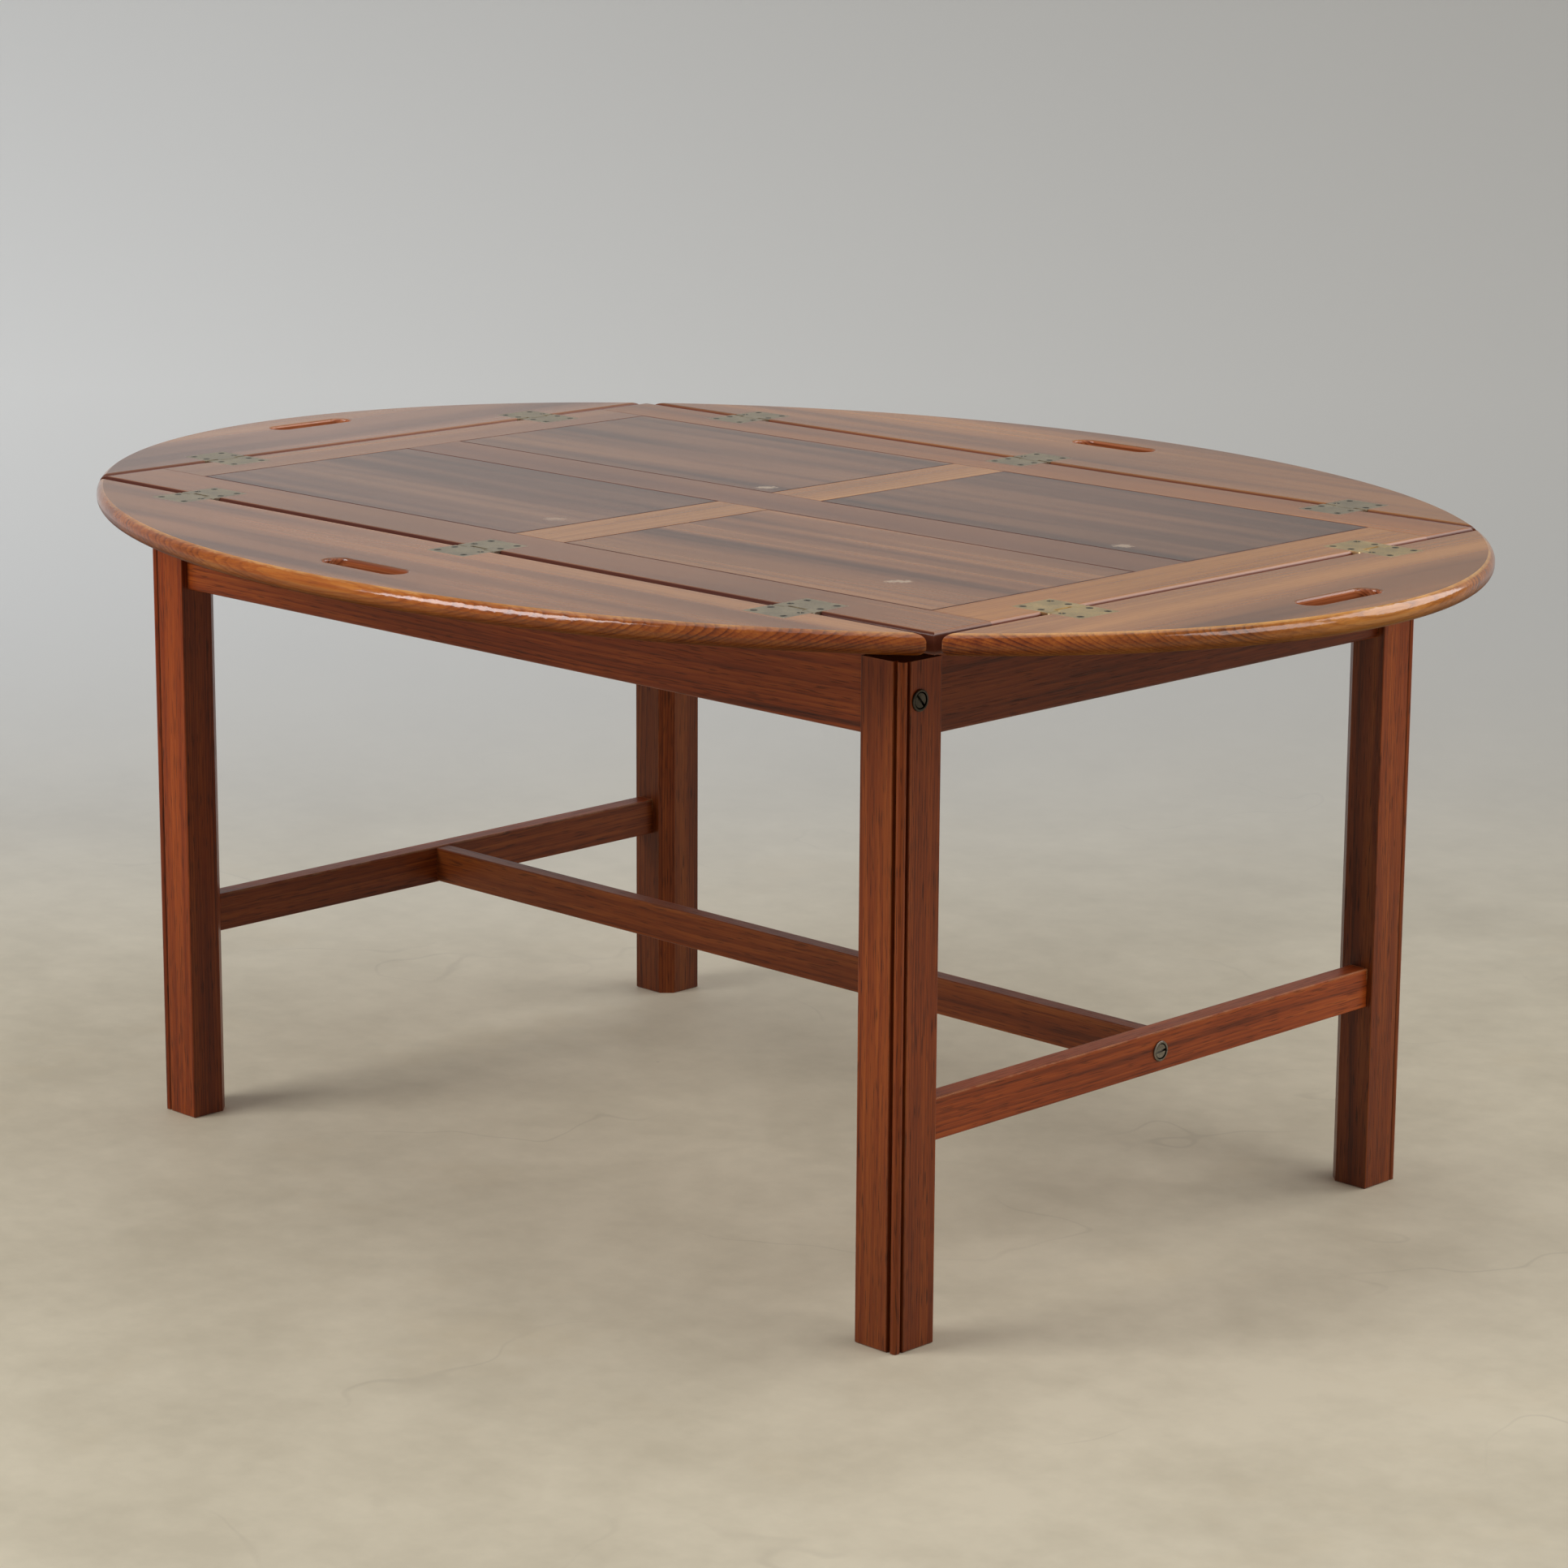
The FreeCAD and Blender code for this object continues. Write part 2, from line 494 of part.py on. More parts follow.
for side in SIDES:
    save("leaf_" + side, leaf(side))
    save("leaf_screws_" + side, Part.makeCompound(leaf_screws[side]))
for (side, n), s in tray_plates.items():
    save("hinge_tray_plate_%s_%d" % (side, n), s)
for (side, n), s in leaf_plates.items():
    save("hinge_leaf_plate_%s_%d" % (side, n), s)
save("hinge_pins", Part.makeCompound(pins))
save("tray_screws", Part.makeCompound(tray_screws))
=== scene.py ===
import math

import bpy
from mathutils import Matrix, Vector


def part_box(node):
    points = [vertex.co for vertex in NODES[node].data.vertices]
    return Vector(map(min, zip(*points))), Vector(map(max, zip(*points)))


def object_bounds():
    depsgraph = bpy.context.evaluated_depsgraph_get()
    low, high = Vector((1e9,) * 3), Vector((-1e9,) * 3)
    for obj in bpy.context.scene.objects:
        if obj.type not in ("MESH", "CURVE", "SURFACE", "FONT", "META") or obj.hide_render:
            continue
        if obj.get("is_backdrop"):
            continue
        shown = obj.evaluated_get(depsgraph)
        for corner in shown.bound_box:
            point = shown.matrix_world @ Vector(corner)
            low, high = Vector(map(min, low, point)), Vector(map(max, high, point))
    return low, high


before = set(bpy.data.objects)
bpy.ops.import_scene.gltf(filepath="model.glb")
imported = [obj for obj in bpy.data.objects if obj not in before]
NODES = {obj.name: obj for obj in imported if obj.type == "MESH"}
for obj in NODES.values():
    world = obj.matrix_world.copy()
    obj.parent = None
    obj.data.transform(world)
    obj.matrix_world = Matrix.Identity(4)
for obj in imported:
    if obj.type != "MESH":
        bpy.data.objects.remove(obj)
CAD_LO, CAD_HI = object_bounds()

scene = bpy.context.scene

# ---------------------------------------------------------------- camera

AZ, EL, ROLL = math.radians(44.54454), math.radians(12.97442), math.radians(0.32429)
CAM_AT = Vector((2.38970, -2.41068, 1.06874))
back = Vector((math.sin(AZ) * math.cos(EL), -math.cos(AZ) * math.cos(EL), math.sin(EL)))
right = (-back).cross(Vector((0, 0, 1))).normalized()
up = right.cross(-back)
cam_x = math.cos(ROLL) * right + math.sin(ROLL) * up
cam_y = -math.sin(ROLL) * right + math.cos(ROLL) * up
cam_data = bpy.data.cameras.new("camera")
cam_data.lens, cam_data.sensor_width, cam_data.sensor_fit = 104.60248, 36.0, "HORIZONTAL"
cam_data.clip_start, cam_data.clip_end = 0.1, 60.0
camera = bpy.data.objects.new("camera", cam_data)
camera.matrix_world = Matrix((
    (cam_x.x, cam_y.x, back.x, CAM_AT.x),
    (cam_x.y, cam_y.y, back.y, CAM_AT.y),
    (cam_x.z, cam_y.z, back.z, CAM_AT.z),
    (0, 0, 0, 1)))
scene.collection.objects.link(camera)
scene.camera = camera
scene.view_settings.view_transform = "Standard"
scene.view_settings.look = "None"

AWAY = Vector((-math.sin(AZ), math.cos(AZ), 0))      # level, from the camera to the table
SIDE = Vector((math.cos(AZ), math.sin(AZ), 0))       # level, to the right in the picture


# ---------------------------------------------------------------- node helper

class Tree:
    """A material's node tree around one Principled shader."""

    def __init__(self, name):
        self.mat = bpy.data.materials.new(name)
        self.mat.use_nodes = True
        self.nt = self.mat.node_tree
        self.nt.nodes.clear()
        self.out = self.nt.nodes.new("ShaderNodeOutputMaterial")
        self.bsdf = self.nt.nodes.new("ShaderNodeBsdfPrincipled")
        self.nt.links.new(self.bsdf.outputs[0], self.out.inputs["Surface"])

    def put(self, socket, value):
        if isinstance(value, bpy.types.NodeSocket):
            self.nt.links.new(value, socket)
        elif value is not None:
            if socket.type == "RGBA" and len(value) == 3:
                value = (*value, 1.0)
            socket.default_value = value

    def set(self, **values):
        for key, value in values.items():
            self.put(self.bsdf.inputs[key.replace("_", " ")], value)

    def math(self, op, a, b=None, c=None, clamp=False):
        n = self.nt.nodes.new("ShaderNodeMath")
        n.operation, n.use_clamp = op, clamp
        for i, value in enumerate((a, b, c)):
            self.put(n.inputs[i], value)
        return n.outputs[0]

    def vec(self, op, a, b=None, out=0):
        n = self.nt.nodes.new("ShaderNodeVectorMath")
        n.operation = op
        self.put(n.inputs[0], a)
        if b is not None:
            self.put(n.inputs[1], b)
        return n.outputs["Value"] if op in ("LENGTH", "DOT_PRODUCT", "DISTANCE") else n.outputs[out]

    def split(self, v):
        n = self.nt.nodes.new("ShaderNodeSeparateXYZ")
        self.put(n.inputs[0], v)
        return n.outputs[0], n.outputs[1], n.outputs[2]

    def join(self, x, y, z):
        n = self.nt.nodes.new("ShaderNodeCombineXYZ")
        for i, value in enumerate((x, y, z)):
            self.put(n.inputs[i], value)
        return n.outputs[0]

    def coords(self):
        return self.nt.nodes.new("ShaderNodeTexCoord").outputs["Object"]

    def noise(self, v, scale=1.0, detail=2.0, rough=0.5, colour=False):
        n = self.nt.nodes.new("ShaderNodeTexNoise")
        n.noise_dimensions = "3D"
        self.put(n.inputs["Vector"], v)
        self.put(n.inputs["Scale"], scale)
        self.put(n.inputs["Detail"], detail)
        self.put(n.inputs["Roughness"], rough)
        return n.outputs["Color" if colour else "Fac"]

    def noise1(self, w, detail=1.0):
        n = self.nt.nodes.new("ShaderNodeTexNoise")
        n.noise_dimensions = "1D"
        self.put(n.inputs["W"], w)
        self.put(n.inputs["Scale"], 1.0)
        self.put(n.inputs["Detail"], detail)
        return n.outputs["Fac"]

    def voronoi(self, v, scale=1.0, rand=1.0):
        n = self.nt.nodes.new("ShaderNodeTexVoronoi")
        self.put(n.inputs["Vector"], v)
        self.put(n.inputs["Scale"], scale)
        self.put(n.inputs["Randomness"], rand)
        return n.outputs["Distance"]

    def ramp(self, fac, stops, interp="LINEAR"):
        n = self.nt.nodes.new("ShaderNodeValToRGB")
        r = n.color_ramp
        r.interpolation = interp
        while len(r.elements) < len(stops):
            r.elements.new(1.0)
        for e, (pos, col) in zip(r.elements, stops):
            e.position = pos
            e.color = (*col, 1.0) if not isinstance(col, (int, float)) else (col, col, col, 1.0)
        self.put(n.inputs[0], fac)
        return n.outputs[0]

    def remap(self, value, a, b, c=0.0, d=1.0, smooth=False):
        n = self.nt.nodes.new("ShaderNodeMapRange")
        n.clamp = True
        n.interpolation_type = "SMOOTHSTEP" if smooth else "LINEAR"
        for i, x in enumerate((value, a, b, c, d)):
            self.put(n.inputs[i], x)
        return n.outputs[0]

    def mix(self, fac, a, b, mode="MIX"):
        n = self.nt.nodes.new("ShaderNodeMix")
        n.data_type, n.blend_type = "RGBA", mode
        self.put(n.inputs["Factor"], fac)
        self.put([s for s in n.inputs if s.name == "A" and s.type == "RGBA"][0], a)
        self.put([s for s in n.inputs if s.name == "B" and s.type == "RGBA"][0], b)
        return [s for s in n.outputs if s.type == "RGBA"][0]

    def bump(self, height, distance, strength=1.0):
        n = self.nt.nodes.new("ShaderNodeBump")
        self.put(n.inputs["Height"], height)
        self.put(n.inputs["Distance"], distance)
        self.put(n.inputs["Strength"], strength)
        return n.outputs[0]

    def edges(self, radius, full=0.80):
        """0 on flat wood, rising to 1 at an outside or inside edge, where the normal turns by acos(full)."""
        b = self.nt.nodes.new("ShaderNodeBevel")
        b.samples = 6
        self.put(b.inputs["Radius"], radius)
        g = self.nt.nodes.new("ShaderNodeNewGeometry")
        dot = self.vec("DOT_PRODUCT", b.outputs[0], g.outputs["Normal"])
        return self.remap(dot, 0.998, full)


# ---------------------------------------------------------------- wood

AXES = {"x": (0, 1, 2), "y": (1, 0, 2), "z": (2, 0, 1)}


def wood(name, axis, centre, pal, seed, pith=(0.06, -0.12), ring_mm=2.4, ring=0.5, broad=1.0,
         broad_w=26.0, streak=0.7, fibre=0.5, pores=0.5, rough=0.36, coat=1.0, wave=0.006,
         spec=0.3, coat_rough=0.14, edge=None, edge_amount=0.5, joint_dirt_and_gap_shade=None, scuffs=(), rim=None, hole=None,
         grooves=(), inner_shade=None, foot_shade=None, coat_ior=1.5, dash=(70.0, 1300.0), tread_and_highlight=False, arris_highlight=None, fade=None, seam_dirt_and_shade=None):
    """Solid wood cut from a log: growth rings about a pith that runs along the grain, broad
    colour streaks, fine fibre and pores, under a lacquer. pal is dark, middle, light, pore.
    rim is the oval's half axes and the palettes of its rounded edge along and across the grain.
    inner_shade is which way a stand piece's inner faces turn, and how much darker they are
    painted than the outer faces: painted shade. foot_shade is how dark a leg is painted at the floor,
    as painted shade. The upper ends of the stand, which the tray hides, are painted darker still: painted shade."""
    t = Tree(name)
    pore_colour = pal[3]
    tex = t.nt.nodes.new("ShaderNodeTexCoord")
    obj = tex.outputs["Object"]
    ox, oy, oz = t.split(obj)
    nx, ny, nz = t.split(tex.outputs["Normal"])
    side = t.remap(t.math("ABSOLUTE", nz), 0.985, 0.955)
    p = t.split(t.vec("SUBTRACT", obj, tuple(centre)))
    g, w, d = (p[i] for i in AXES[axis])
    q = t.join(g, w, d)
    off = Vector((seed * 3.17 % 11, seed * 7.31 % 13, seed * 1.93 % 7))

    bend = t.noise(t.vec("ADD", t.vec("MULTIPLY", q, (1.3, 5.0, 5.0)), tuple(off)), 1.0, 2.0, 0.5, colour=True)
    bend = t.vec("MULTIPLY", t.vec("SUBTRACT", bend, (0.5, 0.5, 0.5)), (0.0, 2 * wave, 2 * wave))
    q = t.vec("ADD", q, bend)

    # growth rings
    away = t.vec("LENGTH", t.vec("MULTIPLY", t.vec("SUBTRACT", q, (0.0, pith[0], pith[1])), (0.0, 1.0, 1.0)))
    years = t.math("MULTIPLY", away, 1000.0 / ring_mm)
    years = t.math("ADD", years, t.math("MULTIPLY", t.noise1(t.math("MULTIPLY_ADD", years, 0.31, float(seed))), 1.8))
    late = t.ramp(t.math("FRACT", years), [(0.0, 0.10), (0.12, 0.0), (0.50, 0.12), (0.80, 0.75), (0.93, 1.0), (1.0, 0.10)])
    weight = t.noise1(t.math("MULTIPLY_ADD", years, 0.17, float(seed) + 31.0))
    late = t.math("MULTIPLY", late, t.remap(weight, 0.30, 0.65, 0.35, 1.0))

    # colour streaks along the grain
    s1 = t.noise(t.vec("ADD", t.vec("MULTIPLY", q, (0.9, broad_w, broad_w)), tuple(off)), 1.0, 2.0, 0.55)
    s2 = t.noise(t.vec("ADD", t.vec("MULTIPLY", q, (3.2, 150.0, 150.0)), tuple(off)), 1.0, 3.0, 0.6)
    s3 = t.noise(t.vec("ADD", t.vec("MULTIPLY", q, (20.0, 800.0, 800.0)), tuple(off)), 1.0, 2.0, 0.6)

    def toned(colours, broad, streak, fibre, ring):
        tone = t.math("MULTIPLY_ADD", t.math("SUBTRACT", s1, 0.5), 2.0 * broad, 0.5)
        tone = t.math("MULTIPLY_ADD", t.math("SUBTRACT", s2, 0.5), 1.2 * streak, tone)
        tone = t.math("MULTIPLY_ADD", t.math("SUBTRACT", s3, 0.5), 0.9 * fibre, tone)
        tone = t.math("MULTIPLY_ADD", t.math("SUBTRACT", late, 0.3), -0.75 * ring, tone, clamp=True)
        return t.ramp(tone, [(0.0, colours[0]), (0.5, colours[1]), (1.0, colours[2])])

    colour = toned(pal, broad, streak, fibre, ring)
    if rim is not None:
        (ax, ay), edge_pal = rim
        reach = t.vec("LENGTH", t.join(t.math("DIVIDE", ox, ax), t.math("DIVIDE", oy, ay), 0.0))
        out_facing = t.math("ADD", t.math("MULTIPLY", nx, t.math("DIVIDE", ox, ax)), t.math("MULTIPLY", ny, t.math("DIVIDE", oy, ay)))
        outer = t.math("MULTIPLY", t.remap(reach, 0.970, 0.978), t.remap(out_facing, 0.0, 0.12))
        on_rim = t.math("MULTIPLY", side, outer)
        # end grain takes the stain darker than long grain, and the lower half of the rounded edge is painted darker
        # still: painted shade
        ends = t.remap(t.math("ABSOLUTE", nx if axis == "x" else ny), 0.05, 0.60)
        edge_colour = t.mix(ends, toned(edge_pal[0], 0.6, 0.6, 0.6, 0.45), toned(edge_pal[1], 0.5, 0.9, 0.6, 1.00))
        painted_under_shade = t.remap(nz, -0.80, 0.35, 0.34, 1.0)
        edge_colour = t.mix(1.0, edge_colour, t.join(painted_under_shade, painted_under_shade, painted_under_shade), "MULTIPLY")
        # the upper arris is painted a lighter gold: partly wear, partly a painted highlight along the edge
        rubbed = t.math("MULTIPLY", t.remap(nz, 0.74, 0.88), t.remap(t.noise(obj, 16.0, 3.0, 0.6), 0.36, 0.58, 0.15, 0.90))
        rubbed = t.math("MULTIPLY", rubbed, t.math("MULTIPLY_ADD", ends, -0.75, 1.0))
        edge_colour = t.mix(rubbed, edge_colour, (0.86, 0.48, 0.165))
        colour = t.mix(on_rim, colour, edge_colour)
        inside = t.math("MULTIPLY", t.remap(t.math("ABSOLUTE", nz), 0.82, 0.58), t.math("SUBTRACT", 1.0, outer))
        near = t.remap(t.vec("LENGTH", t.join(t.math("SUBTRACT", ox, hole[0]), t.math("SUBTRACT", oy, hole[1]), 0.0)), 0.060, 0.065)
        # hand-hole walls are painted darker downwards, and the inner edges along the hinges a darker red-brown: painted
        # shade in the hole and in the gaps
        deep = t.remap(oz, 0.4965, 0.5035, 0.35, 1.0)
        bore = t.mix(1.0, toned(BORE, 0.5, 1.0, 0.6, 0.9), t.join(deep, deep, deep), "MULTIPLY")
        walls = t.mix(near, bore, (0.205, 0.062, 0.036))
        colour = t.mix(t.math("MULTIPLY", inside, 0.90), colour, walls)
        # the lacquer is thick on the rounded edge, thinner on the flat top and worn thin below and in the gaps
        thick = t.math("MULTIPLY", t.math("SUBTRACT", 1.0, coat), on_rim)
        coat = t.math("ADD", coat, thick)
        coat = t.math("SUBTRACT", coat, t.math("MULTIPLY", t.math("MULTIPLY", inside, near), 0.45))
        coat = t.math("MULTIPLY", coat, t.remap(nz, -0.5, 0.1, 0.2, 1.0))

    # pores, short dark dashes along the grain
    pv = t.vec("ADD", t.vec("MULTIPLY", q, (dash[0], dash[1], dash[1])), tuple(off))
    pore = t.remap(t.noise(pv, 1.0, 0.0, 0.5), 0.62, 0.74)
    colour = t.mix(t.math("MULTIPLY", pore, pores), colour, pore_colour)

    # slow change of tone over the board
    blotch = t.noise(t.vec("ADD", t.vec("MULTIPLY", obj, (3.0, 3.0, 3.0)), tuple(off)), 1.0, 1.0, 0.5)
    blotch = t.remap(blotch, 0.3, 0.7, 0.82, 1.16)
    colour = t.mix(1.0, colour, t.join(blotch, blotch, blotch), "MULTIPLY")

    if fade is not None:
        # one end of the board has bleached in the daylight
        lift = t.remap(ox, fade[0], fade[1], 1.0, fade[2], smooth=True)
        colour = t.mix(1.0, colour, t.join(lift, lift, t.math("POWER", lift, 0.6)), "MULTIPLY")

    if edge is not None:
        if tread_and_highlight:
            # the upper edges are painted bright: partly wear from feet, partly a painted highlight along the arris
            e = t.math("MULTIPLY", t.edges(0.0020, 0.94), t.remap(p[2], 0.004, 0.008))
            chip = t.remap(t.noise(obj, 45.0, 3.0, 0.6), 0.40, 0.52)
        else:
            e = t.edges(0.0022)
            chip = t.remap(t.noise(obj, 140.0, 2.0, 0.6), 0.35, 0.62)
        colour = t.mix(t.math("MULTIPLY", t.math("MULTIPLY", e, chip), edge_amount), colour, edge)
    if joint_dirt_and_gap_shade is not None:
        # dark colour in the eased edges along a joint and on the walls seen in the gaps: partly dirt and dark lacquer,
        # partly painted shade
        steep = t.remap(t.math("ABSOLUTE", nz), 0.94, 0.84)
        colour = t.mix(t.math("MULTIPLY", steep, 0.85), colour, joint_dirt_and_gap_shade)
        coat = t.math("SUBTRACT", coat, t.math("MULTIPLY", steep, 0.40))
    if seam_dirt_and_shade is not None:
        # a dark line along the edge of a panel, which stands inset from its box by the hidden tongue: partly dark wax,
        # partly painted shade in the joint
        (x0, y0), (x1, y1), inset, width = seam_dirt_and_shade
        gap = t.math("MINIMUM", t.math("MINIMUM", t.math("SUBTRACT", ox, x0), t.math("SUBTRACT", x1, ox)),
                     t.math("MINIMUM", t.math("SUBTRACT", oy, y0), t.math("SUBTRACT", y1, oy)))
        line = t.math("MULTIPLY", t.remap(gap, inset + width, inset + 0.4 * width), t.remap(t.noise(obj, 22.0, 2.0, 0.5), 0.30, 0.60, 0.35, 0.80))
        colour = t.mix(line, colour, (0.060, 0.013, 0.011))
        coat = t.math("SUBTRACT", coat, t.math("MULTIPLY", line, 0.45))
    if arris_highlight is not None:
        # the rounded upper edge along a hinge is painted a light pink line: painted highlight
        along, tint, amount = arris_highlight
        painted_highlight = t.math("MULTIPLY", t.remap(t.vec("DOT_PRODUCT", tex.outputs["Normal"], along), 0.25, 0.40), t.remap(nz, 0.42, 0.66))
        colour = t.mix(t.math("MULTIPLY", painted_highlight, amount), colour, tint)
    if inner_shade is not None:
        # the inner faces are painted darker and less red, more so towards the top, and the top ends under the tray
        # nearly black: painted shade
        ix, iy, amount = inner_shade
        facing = t.math("MAXIMUM", t.math("MULTIPLY", nx, ix), t.math("MULTIPLY", ny, iy))
        within = t.remap(facing, 0.5, 0.9)
        keep = t.math("MULTIPLY_ADD", within, -amount, 1.0)
        keep = t.math("MULTIPLY", keep, t.math("MULTIPLY_ADD", t.math("MULTIPLY", within, t.remap(oz, 0.33, 0.45)), -0.15, 1.0))
        hidden_top_shade = t.math("MULTIPLY", t.remap(nz, 0.80, 0.95), t.remap(oz, 0.470, 0.474))
        keep = t.math("MULTIPLY", keep, t.math("MULTIPLY_ADD", hidden_top_shade, -0.70, 1.0))
        colour = t.mix(1.0, colour, t.join(keep, t.math("MULTIPLY", keep, t.math("MULTIPLY_ADD", within, 0.16, 1.0)),
                                           t.math("MULTIPLY", keep, t.math("MULTIPLY_ADD", within, 0.40, 1.0))), "MULTIPLY")
    if foot_shade is not None:
        # the leg is painted darker towards the floor: painted shade
        keep = t.remap(oz, 0.0, 0.22, foot_shade, 1.0)
        colour = t.mix(1.0, colour, t.join(keep, keep, keep), "MULTIPLY")
    for gx, gy in grooves:
        # a quirk is painted darker down in its groove: painted shade
        deep = t.vec("LENGTH", t.join(t.math("SUBTRACT", ox, gx), t.math("SUBTRACT", oy, gy), 0.0))
        colour = t.mix(t.remap(deep, 0.0026, 0.0012, 0.0, 0.30), colour, (0.045, 0.011, 0.006))

    rough_var = t.noise(t.vec("ADD", t.vec("MULTIPLY", obj, (14.0, 14.0, 14.0)), tuple(off)), 1.0, 3.0, 0.6)
    roughness = t.math("MULTIPLY_ADD", rough_var, 0.14, rough - 0.07)
    roughness = t.math("MULTIPLY_ADD", pore, 0.10, roughness)

    for i, (x, y, sx, sy, turn, amount) in enumerate(scuffs):
        rel = t.vec("SUBTRACT", obj, (x, y, 0.0))
        rx, ry, _ = t.split(rel)
        c, s = math.cos(turn), math.sin(turn)
        u = t.math("ADD", t.math("MULTIPLY", rx, c / sx), t.math("MULTIPLY", ry, s / sx))
        v = t.math("ADD", t.math("MULTIPLY", rx, -s / sy), t.math("MULTIPLY", ry, c / sy))
        reach = t.math("SQRT", t.math("ADD", t.math("MULTIPLY", u, u), t.math("MULTIPLY", v, v)))
        rag = t.noise(t.vec("ADD", t.vec("MULTIPLY", obj, (260.0, 260.0, 260.0)), (i * 5.0, 2.0, 0.0)), 1.0, 3.0, 0.65)
        mask = t.remap(t.math("ADD", reach, t.math("MULTIPLY", rag, 1.7)), 1.55, 1.25)
        colour = t.mix(t.math("MULTIPLY", mask, amount), colour, (0.62, 0.47, 0.33))
        roughness = t.math("MULTIPLY_ADD", mask, 0.3, roughness)

    height = t.math("MULTIPLY_ADD", pore, -1.0, t.math("MULTIPLY_ADD", s3, 0.5, t.math("MULTIPLY", late, 0.35)))
    t.set(Base_Color=colour, Roughness=roughness, Coat_Weight=coat, Coat_Roughness=coat_rough, Coat_IOR=coat_ior, Specular_IOR_Level=spec,
          Normal=t.bump(height, 0.00012, 0.35))
    return t.mat


def centre(node):
    lo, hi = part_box(node)
    return (Vector(lo) + Vector(hi)) / 2


def give(node, mat):
    o = NODES[node]
    if not o.material_slots:
        o.data.materials.append(mat)
    for s in o.material_slots:
        s.link = "OBJECT"
        s.material = mat


def tones(r, g, b, low=0.5, high=1.55):
    """Dark, middle, light and pore colours (linear) around a middle one: redder in the dark, more golden in the light."""
    return ((r * low, g * low * 0.88, b * low), (r, g, b), (r * high * 0.96, g * high * 1.06, b * high * 0.95),
            (r * 0.3, g * 0.25, b * 0.3))


STAND = ((0.072, 0.012, 0.004), (0.258, 0.046, 0.008), (0.44, 0.105, 0.017), (0.038, 0.009, 0.004))
RICH = tuple((c[0], 0.82 * c[1], 0.70 * c[2]) for c in STAND)
SHADED = tuple(tuple(0.66 * v for v in c) for c in STAND)
BLEACHED = tuple(tuple(1.15 * v for v in c) for c in STAND)
RIM = (((0.170, 0.030, 0.003), (0.450, 0.112, 0.011), (0.72, 0.262, 0.038), (0.080, 0.018, 0.004)),
       ((0.090, 0.013, 0.001), (0.265, 0.048, 0.003), (0.48, 0.120, 0.011), (0.055, 0.011, 0.002)))
GOLD_RIM = (((0.210, 0.055, 0.006), (0.520, 0.180, 0.022), (0.80, 0.350, 0.068), (0.100, 0.026, 0.005)), RIM[1])
BORE = ((0.125, 0.029, 0.012), (0.400, 0.108, 0.040), (0.66, 0.240, 0.100), (0.070, 0.017, 0.008))
JOINT_DIRT_AND_GAP_SHADE = (0.100, 0.020, 0.016)
WORN = (0.55, 0.27, 0.11)
OVAL = (CAD_HI[0], CAD_HI[1])
TOP = dict(spec=0.0, fibre=0.18, pores=0.2)

for i, n in enumerate(("leg_front_left", "leg_front_right", "leg_back_left", "leg_back_right")):
    # the quirks either side of the corner bead, from the leg's outer corner
    at = centre(n)
    cx, cy = ((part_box(n)[1] if at[k] > 0 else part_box(n)[0])[k] for k in (0, 1))
    kx, ky = math.copysign(1.0, cx), math.copysign(1.0, cy)
    quirks = ((cx - kx * 0.0078, cy - ky * 0.0020), (cx - kx * 0.0020, cy - ky * 0.0074))
    give(n, wood("stand_wood_" + n, "z", at, RICH if n == "leg_front_left" else STAND, 3 + i, pith=(0.05 - 0.03 * (i % 2), 0.09), ring_mm=2.2,
                 broad=0.45, broad_w=60.0, streak=0.6, fibre=0.8, pores=0.60, dash=(60.0, 1150.0), rough=0.36, coat=0.0, spec=0.26, edge=WORN,
                 edge_amount=0.25, grooves=quirks, inner_shade=(-kx, -ky, 0.40 if n == "leg_back_left" else 0.31), foot_shade=0.80))
for i, n in enumerate(("long_apron_front", "long_apron_back", "centre_stretcher")):
    # the centre stretcher, low under the table, gets a darker copy of the stand wood: painted shade
    pal = tuple(tuple(v * (0.66 if n == "centre_stretcher" else 1.22) for v in c) for c in STAND)
    give(n, wood("stand_wood_" + n, "x", centre(n), pal, 11 + i, pith=(0.11, 0.05), ring_mm=2.6,
                 broad=0.5, broad_w=50.0, streak=0.7, fibre=0.8, pores=0.5, dash=(60.0, 1150.0), rough=0.36, coat=0.0, spec=0.26,
                 edge=WORN, edge_amount=0.25,
                 inner_shade=(0.0, -math.copysign(1.0, centre(n)[1]), 0.30 if "apron" in n else 0.0)))
for i, n in enumerate(("end_apron_left", "end_apron_right", "end_stretcher_left", "end_stretcher_right")):
    give(n, wood("stand_wood_" + n, "y", centre(n), SHADED if "apron" in n else BLEACHED, 17 + i, pith=(-0.11, 0.06), ring_mm=2.6,
                 broad=0.35, broad_w=50.0, streak=0.7, ring=0.35, fibre=0.8, pores=0.5, dash=(60.0, 1150.0), rough=0.36, coat=0.0,
                 spec=0.26, edge=WORN, edge_amount=0.9 if "stretcher" in n else 0.25, tread_and_highlight="stretcher" in n, inner_shade=(-math.copysign(1.0, centre(n)[0]), 0.0, 0.40)))
